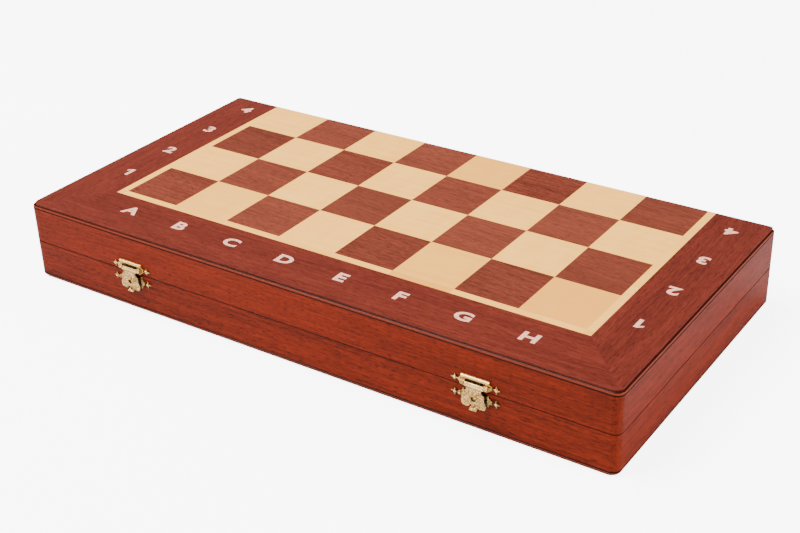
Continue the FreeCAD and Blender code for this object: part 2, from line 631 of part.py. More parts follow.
def knight_head(r, top):
    """The carved head: a horse's profile in the XZ plane, sawn from a plank and eased."""
    z0 = 0.27 * top
    points = [(-0.55, 0.00), (0.52, 0.00), (0.46, 0.12), (0.28, 0.26), (0.20, 0.36), (0.34, 0.40),
              (0.62, 0.33), (0.82, 0.34), (0.88, 0.44), (0.78, 0.53), (0.46, 0.74), (0.30, 0.86),
              (0.16, 1.00), (0.06, 0.90), (-0.16, 0.92), (-0.46, 0.76), (-0.66, 0.50), (-0.68, 0.24)]
    scale = top - z0
    outline = [FreeCAD.Vector(x * r, 0, z0 + z * scale) for x, z in points]
    spline = Part.BSplineCurve()
    spline.interpolate(outline, PeriodicFlag=True)
    thick = 0.84 * r
    head = Part.Face(Part.Wire(spline.toShape())).extrude(FreeCAD.Vector(0, thick, 0))
    head.translate(FreeCAD.Vector(0, -thick / 2, 0))
    rounding = Part.makeSphere(0.64 * top, FreeCAD.Vector(0, 0, z0 + 0.1 * scale))
    flank_radius = 0.84 * scale
    flanks = Part.makeCylinder(flank_radius, 3 * r,
                               FreeCAD.Vector(-1.5 * r, 0.46 * r - flank_radius, z0 + 0.34 * scale),
                               FreeCAD.Vector(1, 0, 0))
    other = flanks.mirror(FreeCAD.Vector(), FreeCAD.Vector(0, 1, 0))
    return head.common(rounding).common(flanks).common(other)


def carved(kind, man):
    """What is cut or added after turning: crenels, mitre slit, coronet notches, cross and head."""
    r, top = cell(kind + "_radius"), cell(kind + "_height")
    if kind == "rook":
        for turn in range(3):
            slot = Part.makeBox(3 * r, 0.17 * r, 0.08 * top, FreeCAD.Vector(-1.5 * r, -0.085 * r, 0.93 * top))
            slot.rotate(FreeCAD.Vector(), FreeCAD.Vector(0, 0, 1), 60 * turn)
            man = man.cut(slot)
    if kind == "bishop":
        slit = Part.makeBox(2 * r, 2 * r, 0.02 * top, FreeCAD.Vector(0.12 * r, -r, 0))
        slit.rotate(FreeCAD.Vector(), FreeCAD.Vector(0, 1, 0), -52)
        slit.translate(FreeCAD.Vector(0, 0, 0.76 * top))
        man = man.cut(slit)
    if kind == "queen":
        for turn in range(8):
            notch = Part.makeCylinder(0.08 * r, 0.5 * r, FreeCAD.Vector(0.46 * r, 0, 0.925 * top),
                                      FreeCAD.Vector(1, 0, 0))
            notch.rotate(FreeCAD.Vector(), FreeCAD.Vector(0, 0, 1), 45 * turn)
            man = man.cut(notch)
    if kind == "king":
        low, arm = 0.91 * top, 0.24 * r
        upright = [(-0.06 * r, low), (0.06 * r, low), (0.16 * r, top), (-0.16 * r, top)]
        across = [(-arm, low + 0.028 * top), (arm, low + 0.028 * top), (arm, low + 0.062 * top),
                  (-arm, low + 0.062 * top)]
        for corners in (upright, across):
            loop = [FreeCAD.Vector(x, -0.08 * r, z) for x, z in corners + corners[:1]]
            man = man.fuse(Part.Face(Part.makePolygon(loop)).extrude(FreeCAD.Vector(0, 0.16 * r, 0)))
    if kind == "knight":
        man = man.fuse(knight_head(r, top))
    return man


def make_men():
    """Sixteen men a side, each solid and standing clear of its felt; named after the file they start on."""
    order = ["rook", "knight", "bishop", "queen", "king", "bishop", "knight", "rook"]
    felt, fit = cell("felt"), cell("tray_fit")
    floor = cell("veneer") + cell("board_core") + cell("tray_floor") + fit
    foot_y = -cell("case_depth") / 2 + cell("rail_thick") + cell("end_wall") + fit
    men = {}
    for kind in PROFILES:
        men[kind] = carved(kind, turned_body(kind).Shape).removeSplitter()
        men[kind].translate(FreeCAD.Vector(0, 0, felt))
    over = FreeCAD.Placement(FreeCAD.Vector(0, 0, 2 * cell("half_height")),
                             FreeCAD.Rotation(FreeCAD.Vector(1, 0, 0), 180))
    for colour, turn in (("white", FreeCAD.Placement()), ("black", over)):
        for n, file in enumerate("abcdefgh"):
            middle = (n - 3.5) * cell("column_pitch")
            offset = cell("column_pitch") / 4
            for kind, x, side in ((order[n], middle - offset, 1), ("pawn", middle + offset, -1)):
                lying = FreeCAD.Placement(
                    FreeCAD.Vector(x, side * foot_y, floor + cell(kind + "_radius")),
                    FreeCAD.Rotation(FreeCAD.Vector(0, 0, 1), FreeCAD.Vector(0, side, 0)))
                man = men[kind].transformed(turn.multiply(lying).toMatrix())
                name = f"{colour}_{kind}" if kind in ("king", "queen") else f"{colour}_{kind}_{file}"
                keep(name, feature(name, man))
    return order


# ---------------------------------------------------------------- moulded trays
def trough(name, kind, x, side):
    """Room for one man on his side: a wide round trough for the foot and a narrower one for the rest."""
    axis = (x, f"{side}*(-case_depth/2+rail_thick+end_wall)",
            f"veneer+board_core+tray_floor+tray_fit+{kind}_radius")
    foot = cylinder(name + "_foot", f"{kind}_radius+tray_fit", f"0.62*{kind}_radius+felt+2*tray_fit+1",
                    axis, (0, side, 0))
    stem = cylinder(name + "_stem", f"{WIDEST_HEAD[kind]}*{kind}_radius+tray_fit",
                    f"{kind}_height+felt+3*tray_fit", axis, (0, side, 0))
    return fuse(name, [foot, stem])


def make_trays(order):
    troughs = []
    for n in range(8):
        middle = f"({n}-3.5)*column_pitch"
        troughs.append(trough(f"officer_trough{n}", order[n], f"{middle}-column_pitch/4", 1))
        troughs.append(trough(f"pawn_trough{n}", "pawn", f"{middle}+column_pitch/4", -1))
    slab = box("tray_slab", ("case_length-2*rail_thick-2*tray_fit", "case_depth-2*rail_thick-2*tray_fit",
                             "tray_height"),
               ("-case_length/2+rail_thick+tray_fit", "-case_depth/2+rail_thick+tray_fit",
                "veneer+board_core"))
    finger_top = "veneer+board_core+tray_height-5"
    grooves = [box("officer_finger_groove", ("7.5*column_pitch", "15", "10"),
                   ("-3.75*column_pitch", "-case_depth/2+rail_thick+end_wall+30", finger_top)),
               box("pawn_finger_groove", ("7.5*column_pitch", "12", "10"),
                   ("-3.75*column_pitch", "case_depth/2-rail_thick-end_wall-36", finger_top))]
    tray = cut("lower_tray_moulded", slab, fuse("troughs", troughs + grooves))
    DOC.recompute()
    over = FreeCAD.Placement(FreeCAD.Vector(0, 0, 2 * cell("half_height")),
                             FreeCAD.Rotation(FreeCAD.Vector(1, 0, 0), 180))
    turned = tray.Shape.transformed(over.toMatrix())
    keep("lower_tray", tray)
    keep("upper_tray", feature("upper_tray", turned))


# ---------------------------------------------------------------- build, check and write
def check_and_write():
    DOC.recompute()
    for thing in DOC.Objects:
        if "Invalid" in thing.State or "Error" in thing.State:
            raise RuntimeError(f"{thing.Name} failed: {thing.State}")
    os.makedirs("parts", exist_ok=True)
    for old in os.listdir("parts"):
        if old.endswith(".step") and old[:-5] not in NODES:
            os.remove(os.path.join("parts", old))
    for name, thing in NODES.items():
        shape = thing.Shape
        if shape.isNull() or not shape.isValid() or not shape.Solids:
            raise RuntimeError(f"{name} isn't a valid solid")
        shape.exportStep(os.path.join("parts", name + ".step"))
        print(f"{name}: {len(shape.Solids)} solids, {shape.Volume / 1000:.2f} cm3")


for HALF in ("lower", "upper"):
    make_rails(HALF)
    make_board(HALF)
SCREWS = make_hinges()
NAILS = make_latches()
for HALF in ("lower", "upper"):
    keep(HALF + "_screws_and_nails", group(HALF + "_fasteners", SCREWS[HALF] + [NAILS[HALF]]))
make_trays(make_men())
check_and_write()
print(len(NODES), "sub-parts")
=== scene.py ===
import math

import bmesh
import bpy
from mathutils import Euler, Matrix, Vector


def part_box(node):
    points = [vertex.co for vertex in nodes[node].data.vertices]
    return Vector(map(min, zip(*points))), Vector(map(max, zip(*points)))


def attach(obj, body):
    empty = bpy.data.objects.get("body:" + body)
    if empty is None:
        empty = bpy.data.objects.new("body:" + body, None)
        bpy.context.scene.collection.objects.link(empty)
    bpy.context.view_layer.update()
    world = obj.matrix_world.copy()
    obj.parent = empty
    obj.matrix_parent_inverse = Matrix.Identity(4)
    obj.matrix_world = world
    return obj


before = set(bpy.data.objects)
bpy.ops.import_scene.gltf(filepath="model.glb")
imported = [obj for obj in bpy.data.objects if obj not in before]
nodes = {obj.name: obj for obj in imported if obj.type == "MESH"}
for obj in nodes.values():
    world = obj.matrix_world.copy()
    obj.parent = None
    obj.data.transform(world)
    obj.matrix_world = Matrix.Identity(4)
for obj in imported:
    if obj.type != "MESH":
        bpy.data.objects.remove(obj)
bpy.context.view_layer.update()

mm = 0.001

# ------------------------------------------------------------------ studio
# A white seamless table under one large overhead softbox, with a smaller key light from the front
# left and a fill from the right, and a standing camera at the case's front right corner.
table = bpy.data.meshes.new("studio_table")
table.from_pydata([(-6, -6, 0), (6, -6, 0), (6, 6, 0), (-6, 6, 0)], [], [(0, 1, 2, 3)])
studio_table = bpy.data.objects.new("studio_table", table)
bpy.context.scene.collection.objects.link(studio_table)
studio_table.location.z = -0.05 * mm

table_paint = bpy.data.materials.new("pale_table")
table_paint.use_nodes = True
paint = table_paint.node_tree.nodes["Principled BSDF"]
paint.inputs["Base Color"].default_value = (0.90, 0.90, 0.90, 1)
paint.inputs["Roughness"].default_value = 0.9
paint.inputs["Specular IOR Level"].default_value = 0.1
paint.inputs["Emission Color"].default_value = (1, 1, 1, 1)
seen = table_paint.node_tree.nodes.new("ShaderNodeLightPath")
glow = table_paint.node_tree.nodes.new("ShaderNodeMath")
glow.operation = "MULTIPLY"
glow.inputs[1].default_value = 6  # burnt out to white for the camera alone
table_paint.node_tree.links.new(seen.outputs["Is Camera Ray"], glow.inputs[0])
table_paint.node_tree.links.new(glow.outputs[0], paint.inputs["Emission Strength"])
table.materials.append(table_paint)


def softbox(name, place, target, size, power):
    lamp = bpy.data.lights.new(name, "AREA")
    lamp.shape = "RECTANGLE"
    lamp.size, lamp.size_y = size
    lamp.energy = power
    holder = bpy.data.objects.new(name, lamp)
    holder.location = place
    holder.rotation_euler = (Vector(target) - Vector(place)).to_track_quat("-Z", "Y").to_euler()
    bpy.context.scene.collection.objects.link(holder)


softbox("overhead_softbox", (-0.9, -0.5, 2.3), (0, 0, 0), (1.7, 1.3), 140)
softbox("front_key", (-1.7, -2.3, 1.9), (0, 0, 0), (0.9, 0.7), 56)
softbox("right_fill", (2.8, 0.4, 1.1), (0.1, 0, 0), (1.2, 1.2), 106)

world = bpy.data.worlds.new("studio_room")
world.use_nodes = True
world.node_tree.nodes["Background"].inputs["Color"].default_value = (1, 1, 1, 1)
world.node_tree.nodes["Background"].inputs["Strength"].default_value = 0.38
bpy.context.scene.world = world

lens = bpy.data.cameras.new("studio_camera")
lens.lens = 62.83
lens.clip_start = 0.01
camera = bpy.data.objects.new("studio_camera", lens)
camera.location = (525.9 * mm, -748.6 * mm, 519.8 * mm)
camera.rotation_euler = Euler((math.radians(61.295), math.radians(1.5275), math.radians(33.834)))
bpy.context.scene.collection.objects.link(camera)
bpy.context.scene.camera = camera


# ------------------------------------------------------------------ rails
# Eight lengths of mahogany, 10 mm thick, mitred and glued into two frames, stained red-brown and
# sprayed with a gloss lacquer that keeps a trace of the open pores.
def new_group(name, inputs, outputs):
    """A shader node group with named sockets; inputs maps a name to its starting value."""
    group = bpy.data.node_groups.new(name, "ShaderNodeTree")
    for label, value in inputs.items():
        kind = "NodeSocketFloat"
        if isinstance(value, tuple):
            kind = "NodeSocketColor" if len(value) == 4 else "NodeSocketVector"
        socket = group.interface.new_socket(label, in_out="INPUT", socket_type=kind)
        socket.default_value = value
    for label, kind in outputs.items():
        group.interface.new_socket(label, in_out="OUTPUT", socket_type="NodeSocket" + kind)
    return group, group.nodes.new("NodeGroupInput").outputs, group.nodes.new("NodeGroupOutput").inputs


def calculate(tree, operation, *values, clamp=False):
    """One Math node: each value is a number or a socket."""
    node = tree.nodes.new("ShaderNodeMath")
    node.operation = operation
    node.use_clamp = clamp
    for socket, value in zip(node.inputs, values):
        if isinstance(value, (int, float)):
            socket.default_value = value
        else:
            tree.links.new(value, socket)
    return node.outputs[0]


def blend_colours(tree, factor, first, second, mode="MIX"):
    node = tree.nodes.new("ShaderNodeMix")
    node.data_type = "RGBA"
    node.blend_type = mode
    for socket, value in ((node.inputs[0], factor), (node.inputs[6], first), (node.inputs[7], second)):
        if isinstance(value, (int, float, tuple)):
            socket.default_value = value
        else:
            tree.links.new(value, socket)
    return node.outputs[2]


def stretched_noise(tree, place, stretch, scale=1, detail=3, roughness=0.55):
    """Noise drawn out along an axis: stretch is in cycles for each millimetre of x, y and z."""
    mapping = tree.nodes.new("ShaderNodeMapping")
    mapping.inputs["Scale"].default_value = [1000 * value for value in stretch]
    noise = tree.nodes.new("ShaderNodeTexNoise")
    noise.inputs["Scale"].default_value = scale
    noise.inputs["Detail"].default_value = detail
    noise.inputs["Roughness"].default_value = roughness
    tree.links.new(place, mapping.inputs["Vector"])
    tree.links.new(mapping.outputs[0], noise.inputs["Vector"])
    return noise.outputs["Fac"]


def remap(tree, value, low, high, new_low=0.0, new_high=1.0):
    node = tree.nodes.new("ShaderNodeMapRange")
    for socket, number in zip(list(node.inputs)[1:5], (low, high, new_low, new_high)):
        socket.default_value = number
    tree.links.new(value, node.inputs[0])
    return node.outputs[0]


def make_open_grain():
    """Open-pored red wood, its grain along x: broad bands, streaks, and short dark pores."""
    group, given, made = new_group(
        "open_grain",
        {"Place": (0.0, 0.0, 0.0), "Pale": (0.4, 0.1, 0.05, 1), "Deep": (0.2, 0.05, 0.02, 1),
         "Pore": (0.08, 0.02, 0.01, 1), "Streaks": 0.6, "Pores": 0.6},
        {"Color": "Color", "Height": "Float", "Roughness": "Float"})
    bands = remap(group, stretched_noise(group, given["Place"], (0.0035, 0.05, 0.05), detail=2), 0.3, 0.7)
    streaks = remap(group, stretched_noise(group, given["Place"], (0.028, 0.60, 0.60), detail=4), 0.3, 0.7)
    fleck = remap(group, stretched_noise(group, given["Place"], (0.16, 1.3, 1.3), detail=2), 0.42, 0.62)
    pores = remap(group, stretched_noise(group, given["Place"], (0.20, 2.2, 2.2), detail=1), 0.56, 0.66)
    tone = calculate(group, "MULTIPLY", streaks, given["Streaks"])
    tone = calculate(group, "ADD", tone, calculate(group, "MULTIPLY", bands, 0.45))
    tone = calculate(group, "ADD", tone, calculate(group, "MULTIPLY", fleck, 0.32))
    tone = calculate(group, "MULTIPLY", tone, 0.78, clamp=True)
    wood = blend_colours(group, tone, given["Deep"], given["Pale"])
    pore_mask = calculate(group, "MULTIPLY", pores, given["Pores"])
    group.links.new(blend_colours(group, pore_mask, wood, given["Pore"]), made["Color"])
    grooves = calculate(group, "MULTIPLY", pore_mask, -1.0)
    ribbed = calculate(group, "ADD", calculate(group, "MULTIPLY", streaks, 0.25), grooves)
    group.links.new(ribbed, made["Height"])
    group.links.new(remap(group, pore_mask, 0, 1, 0, 0.2), made["Roughness"])
    return group


open_grain = make_open_grain()


def start_material(name, roughness, coat=0.0, coat_roughness=0.1):
    material = bpy.data.materials.new(name)
    material.use_nodes = True
    shader = material.node_tree.nodes["Principled BSDF"]
    shader.inputs["Roughness"].default_value = roughness
    shader.inputs["Specular IOR Level"].default_value = 0.04
    shader.inputs["Coat Weight"].default_value = coat
    shader.inputs["Coat Roughness"].default_value = coat_roughness
    place = material.node_tree.nodes.new("ShaderNodeTexCoord").outputs["Object"]
    return material, material.node_tree, shader, place


def relief(tree, shader, height, depth, strength=1.0):
    """A Bump node on the shader's normal; depth is in metres."""
    bump = tree.nodes.new("ShaderNodeBump")
    bump.inputs["Distance"].default_value = depth
    bump.inputs["Strength"].default_value = strength
    tree.links.new(height, bump.inputs["Height"])
    tree.links.new(bump.outputs[0], shader.inputs["Normal"])


def dress(material, *names):
    """Puts a material on nodes of the frame in place of their plain one."""
    for name in names:
        nodes[name].data.materials.clear()
        nodes[name].data.materials.append(material)


def add_group(tree, group, **values):
    """A group node with some of its sockets set."""
    node = tree.nodes.new("ShaderNodeGroup")
    node.node_tree = group
    for label, value in values.items():
        node.inputs[label].default_value = value
    return node


def turned_place(tree, place, turn, shift=(0, 0, 0)):
    mapping = tree.nodes.new("ShaderNodeMapping")
    mapping.inputs["Rotation"].default_value = turn
    mapping.inputs["Location"].default_value = shift
    tree.links.new(place, mapping.inputs["Vector"])
    return mapping.outputs[0]


def grained_wood(tree, place, pale, deep, pore, streaks, pores):
    wood = add_group(tree, open_grain, Pale=pale, Deep=deep, Pore=pore, Streaks=streaks, Pores=pores)
    tree.links.new(place, wood.inputs["Place"])
    return wood.outputs


def level_line(tree, place, level, half_width):
    """A soft mask round one height, alike in both halves; level is counted from the seam."""
    axes = tree.nodes.new("ShaderNodeSeparateXYZ")
    tree.links.new(place, axes.inputs[0])
    from_seam = calculate(tree, "ABSOLUTE", calculate(tree, "SUBTRACT", axes.outputs["Z"], seam_height))
    off = calculate(tree, "ABSOLUTE", calculate(tree, "SUBTRACT", from_seam, level))
    return remap(tree, off, half_width * 0.4, half_width, 1.0, 0.0)


half_seam_gap = 0.08 * mm
seam_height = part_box("lower_front_rail")[1].z + half_seam_gap
groove_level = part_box("upper_front_rail")[1].z - seam_height
# A near-black brown, painted as shade along the seam between the halves and in the grooves at the board
# edges.
painted_wood_shade = (0.014, 0.0025, 0.001, 1)


def rail_wood(name, turn, shift):
    """Lacquered mahogany cut from its own plank: shift moves the figure, turn lays the grain."""
    material, tree, shader, place = start_material(name, 0.45, coat=0.04, coat_roughness=0.14)
    wood = grained_wood(tree, turned_place(tree, place, turn, shift), pale=(0.20, 0.0165, 0.003, 1),
                        deep=(0.058, 0.0055, 0.0009, 1), pore=(0.015, 0.0015, 0.0005, 1),
                        streaks=0.85, pores=0.7)
    # Painted shade: near-black bands along the seam between the halves and in the groove under the board.
    joints = calculate(tree, "MAXIMUM", level_line(tree, place, 0.0, 0.55 * mm),
                       level_line(tree, place, groove_level, 0.8 * mm))
    lined = blend_colours(tree, calculate(tree, "MULTIPLY", joints, 0.85), wood["Color"], painted_wood_shade)
    tree.links.new(lined, shader.inputs["Base Color"])
    relief(tree, shader, wood["Height"], 0.06 * mm, 0.6)
    return material


quarter = math.radians(90)
for half, plank in (("lower", 0.31), ("upper", 1.57)):
    for side, turn in (("front", 0), ("back", 0), ("left", quarter), ("right", quarter)):
        shift = (plank, plank * 0.37 + len(side) * 0.11, 0.0)
        dress(rail_wood(f"mahogany_{half}_{side}", (0, 0, turn), shift), f"{half}_{side}_rail")


# ------------------------------------------------------------------ board cores
# The two panels that the veneers are pressed on, glued over the rails with a rounded, stained and
# lacquered edge; the light it catches all round the case is a painted highlight along the bead, with
# painted shade in the groove below it and along its top arris.
edge_lacquer, tree, shader, place = start_material("stained_board_edge", 0.38, coat=0.05, coat_roughness=0.12)
wood = grained_wood(tree, place, pale=(0.20, 0.020, 0.006, 1), deep=(0.065, 0.005, 0.002, 1),
                    pore=(0.02, 0.002, 0.001, 1), streaks=0.6, pores=0.4)
bead_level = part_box("upper_board_core")[1].z - seam_height
# Painted highlight: a lighter red-brown band along the bead.
bead = level_line(tree, place, bead_level - 1.0 * mm, 0.75 * mm)
painted_bead_highlight = blend_colours(tree, calculate(tree, "MULTIPLY", bead, 0.6), wood["Color"], (0.22, 0.040, 0.018, 1))
# Painted shade: near-black lines in the groove under the bead and along the top arris.
edges = calculate(tree, "MAXIMUM", level_line(tree, place, groove_level, 0.8 * mm),
                  level_line(tree, place, bead_level - 0.1 * mm, 0.5 * mm))
tree.links.new(blend_colours(tree, calculate(tree, "MULTIPLY", edges, 0.9), painted_bead_highlight, painted_wood_shade),
               shader.inputs["Base Color"])
relief(tree, shader, wood["Height"], 0.04 * mm, 0.5)
dress(edge_lacquer, "lower_board_core", "upper_board_core")


# ------------------------------------------------------------------ border veneer
# Three bands of mahogany veneer on each board, mitred at the front corners, with the grain running
# along each band, under the same satin lacquer as the squares.
square = 49 * mm
field_low, field_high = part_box("upper_light_squares")
case_low, case_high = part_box("upper_board_core")
side_band = field_low.x - case_low.x
front_band = field_low.y - case_low.y

border_wood, tree, shader, place = start_material("mitred_mahogany", 0.42, coat=0.10, coat_roughness=0.25)
axes = tree.nodes.new("ShaderNodeSeparateXYZ")
tree.links.new(place, axes.inputs[0])
across = calculate(tree, "SUBTRACT", case_high.x, calculate(tree, "ABSOLUTE", axes.outputs["X"]))
from_side = calculate(tree, "DIVIDE", across, side_band)
from_front = calculate(tree, "DIVIDE", calculate(tree, "SUBTRACT", axes.outputs["Y"], case_low.y), front_band)
past_mitre = calculate(tree, "SUBTRACT", from_front, from_side)
on_side = calculate(tree, "GREATER_THAN", past_mitre, 0.0)
turned = turned_place(tree, place, (0, 0, quarter), (0.7, 0.2, 0))
switch = tree.nodes.new("ShaderNodeMix")
switch.data_type = "VECTOR"
tree.links.new(on_side, switch.inputs[0])
tree.links.new(place, switch.inputs[4])
tree.links.new(turned, switch.inputs[5])
wood = grained_wood(tree, switch.outputs[1], pale=(0.152, 0.0240, 0.0140, 1),
                    deep=(0.066, 0.0090, 0.0056, 1), pore=(0.028, 0.004, 0.002, 1), streaks=0.75, pores=0.6)
mitre_width = 0.009  # as a share of a band's width
mitre_line = remap(tree, calculate(tree, "ABSOLUTE", past_mitre), 0.0, mitre_width, 1.0, 0.0)
glued = calculate(tree, "MULTIPLY", mitre_line, 0.5)
mitred = blend_colours(tree, glued, wood["Color"], (0.08, 0.016, 0.009, 1))
tree.links.new(mitred, shader.inputs["Base Color"])
relief(tree, shader, wood["Height"], 0.04 * mm, 0.5)
dress(border_wood, "lower_border_veneer", "upper_border_veneer")


# ------------------------------------------------------------------ dark squares
# Thirty-two squares of sliced mahogany, each from another part of the sheet, so that tone and
# figure change from square to square while the grain keeps running along the case.
def make_square_lots():
    """Gives each board square its own lot number and its own stretch of the veneer sheet."""
    group, given, made = new_group(
        "square_lots", {"Place": (0.0, 0.0, 0.0), "Square": square, "Front Edge": 0.0},
        {"Place": "Vector", "Tone": "Float", "Second Tone": "Float"})
    split = group.nodes.new("ShaderNodeSeparateXYZ")
    group.links.new(given["Place"], split.inputs[0])
    column = calculate(group, "FLOOR", calculate(group, "DIVIDE", split.outputs["X"], given["Square"]))
    forward = calculate(group, "SUBTRACT", split.outputs["Y"], given["Front Edge"])
    row = calculate(group, "FLOOR", calculate(group, "DIVIDE", forward, given["Square"]))
    face = calculate(group, "GREATER_THAN", split.outputs["Z"], seam_height)
    lot = group.nodes.new("ShaderNodeCombineXYZ")
    for socket, value in zip(lot.inputs, (column, row, face)):
        group.links.new(value, socket)
    dice = group.nodes.new("ShaderNodeTexWhiteNoise")
    group.links.new(lot.outputs[0], dice.inputs["Vector"])
    jump = group.nodes.new("ShaderNodeVectorMath")
    jump.operation = "MULTIPLY_ADD"
    group.links.new(dice.outputs["Color"], jump.inputs[0])
    jump.inputs[1].default_value = (1.3, 1.7, 0.9)
    group.links.new(given["Place"], jump.inputs[2])
    group.links.new(jump.outputs[0], made["Place"])
    shades = group.nodes.new("ShaderNodeSeparateColor")
    group.links.new(dice.outputs["Color"], shades.inputs[0])
    group.links.new(shades.outputs[0], made["Tone"])
    group.links.new(shades.outputs[1], made["Second Tone"])
    return group


square_lots = make_square_lots()
line_width = 6 * mm
squares_front = field_low.y + line_width


def veneer_lot(tree, place):
    lot = add_group(tree, square_lots, Square=square)
    lot.inputs["Front Edge"].default_value = squares_front
    tree.links.new(place, lot.inputs["Place"])
    return lot.outputs


dark_squares, tree, shader, place = start_material("sliced_mahogany", 0.40, coat=0.10, coat_roughness=0.25)
lot = veneer_lot(tree, place)
askew = turned_place(tree, lot["Place"], (0, 0, math.radians(4)))
wood = grained_wood(tree, askew, pale=(0.200, 0.038, 0.020, 1), deep=(0.045, 0.0065, 0.0035, 1),
                    pore=(0.02, 0.0025, 0.0015, 1), streaks=0.95, pores=0.9)
darkening = remap(tree, lot["Tone"], 0, 1, 0.0, 0.45)
warming = remap(tree, lot["Second Tone"], 0, 1, 0.0, 0.30)
shade = blend_colours(tree, darkening, wood["Color"], (0.065, 0.012, 0.007, 1))
warm = blend_colours(tree, warming, shade, (0.25, 0.068, 0.036, 1))
tree.links.new(warm, shader.inputs["Base Color"])
relief(tree, shader, wood["Height"], 0.04 * mm, 0.6)
dress(dark_squares, "lower_dark_squares", "upper_dark_squares")


# ------------------------------------------------------------------ maple squares and line
# Thirty-two squares of close-grained maple with a maple line round the field: pale cream, with a
# faint silk figure, and here and there a yellower or pinker square.
def make_close_grain():
    """Close-grained pale wood: a silky cross figure and faint growth lines."""
    group, given, made = new_group(
        "close_grain",
        {"Place": (0.0, 0.0, 0.0), "Pale": (0.8, 0.7, 0.5, 1), "Deep": (0.7, 0.55, 0.36, 1),
         "Figure": 0.5},
        {"Color": "Color", "Height": "Float"})
    lines = remap(group, stretched_noise(group, given["Place"], (0.012, 0.35, 0.35), detail=4), 0.3, 0.72)
    silk = remap(group, stretched_noise(group, given["Place"], (0.10, 0.03, 0.03), detail=2), 0.35, 0.7)
    ticks = remap(group, stretched_noise(group, given["Place"], (0.3, 2.2, 2.2), detail=1), 0.60, 0.72)
    tone = calculate(group, "MULTIPLY", lines, 0.6)
    tone = calculate(group, "ADD", tone, calculate(group, "MULTIPLY", silk, 0.3))
    tone = calculate(group, "ADD", tone, calculate(group, "MULTIPLY", ticks, 0.35))
    tone = calculate(group, "MULTIPLY", tone, given["Figure"], clamp=True)
    group.links.new(blend_colours(group, tone, given["Pale"], given["Deep"]), made["Color"])
    group.links.new(lines, made["Height"])
    return group


close_grain = make_close_grain()


def pale_wood(tree, place, pale, deep, figure):
    wood = add_group(tree, close_grain, Pale=pale, Deep=deep, Figure=figure)
    tree.links.new(place, wood.inputs["Place"])
    return wood.outputs


maple, tree, shader, place = start_material("maple_veneer", 0.40, coat=0.10, coat_roughness=0.25)
lot = veneer_lot(tree, place)
wood = pale_wood(tree, lot["Place"], pale=(0.99, 0.53, 0.11, 1), deep=(0.90, 0.38, 0.05, 1), figure=0.95)
yellow = remap(tree, lot["Tone"], 0.55, 1.0, 0.0, 0.75)
pink = remap(tree, lot["Second Tone"], 0.4, 1.0, 0.0, 0.35)
shade = blend_colours(tree, yellow, wood["Color"], (0.72, 0.28, 0.03, 1))
shade = blend_colours(tree, pink, shade, (0.99, 0.44, 0.09, 1))
tree.links.new(shade, shader.inputs["Base Color"])
relief(tree, shader, wood["Height"], 0.02 * mm, 0.4)
dress(maple, "lower_light_squares", "upper_light_squares")


# ------------------------------------------------------------------ printed letters and numbers
# Board coordinates printed on the border under the lacquer, in white ink that the stain has turned
# pink: letters along the front, numbers along both sides, facing whoever sits at that side.
ink, tree, shader, place = start_material("white_print", 0.5, coat=0.2, coat_roughness=0.25)
speckle = remap(tree, stretched_noise(tree, place, (0.9, 0.9, 0.9), detail=3), 0.35, 0.62)
inked = blend_colours(tree, speckle, (0.60, 0.25, 0.18, 1), (0.92, 0.50, 0.37, 1))
tree.links.new(inked, shader.inputs["Base Color"])
relief(tree, shader, speckle, 0.01 * mm, 0.3)

glyph_height = 10.8 * mm
glyph_width = 1.24
ink_thickness = 0.02 * mm
capital_share = 0.72  # a capital's height as a share of the size that the font is set at
boldness = 0.55 * mm
# the number one's outline, in shares of its height
flagged_one = [(0.24, 0), (0.46, 0), (0.46, 1), (0.28, 1), (0.0, 0.80), (0.0, 0.60), (0.24, 0.75)]


def printed_mark(character, place, turn, mirrored):
    """One character as a thin mesh; mirrored turns it over for the board that faces down."""
    if character == "1":
        curve = bpy.data.curves.new("mark", "CURVE")
        curve.dimensions = "2D"
        curve.fill_mode = "BOTH"
        stroke = curve.splines.new("POLY")
        stroke.points.add(len(flagged_one) - 1)
        stroke.use_cyclic_u = True
        for point, (across, up) in zip(stroke.points, flagged_one):
            point.co = (across * glyph_height, up * glyph_height, 0, 1)
    else:
        curve = bpy.data.curves.new("mark", "FONT")
        curve.body = character
        curve.size = glyph_height / capital_share
        curve.offset = boldness
    curve.extrude = ink_thickness
    curve.resolution_u = 6
    holder = bpy.data.objects.new("mark", curve)
    bpy.context.scene.collection.objects.link(holder)
    bpy.context.view_layer.update()
    mesh = bpy.data.meshes.new_from_object(holder.evaluated_get(bpy.context.evaluated_depsgraph_get()))
    bpy.data.objects.remove(holder)
    ys = [v.co.y for v in mesh.vertices]
    xs = [v.co.x for v in mesh.vertices]
    middle = Vector(((min(xs) + max(xs)) / 2, (min(ys) + max(ys)) / 2, 0))
    over = Matrix.Rotation(math.pi, 4, "Y") if mirrored else Matrix.Identity(4)
    stretch = Matrix.Diagonal((glyph_width, glyph_height / (max(ys) - min(ys)), 1, 1))
    mesh.transform(Matrix.Translation(place) @ over @ Matrix.Rotation(turn, 4, "Z") @ stretch
                   @ Matrix.Translation(-middle))
    return mesh


def join_meshes(name, meshes, material, body):
    joined = bmesh.new()
    for mesh in meshes:
        joined.from_mesh(mesh)
        bpy.data.meshes.remove(mesh)
    result = bpy.data.meshes.new(name)
    joined.to_mesh(result)
    joined.free()
    result.materials.append(material)
    piece = bpy.data.objects.new(name, result)
    bpy.context.scene.collection.objects.link(piece)
    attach(piece, body)
    return piece


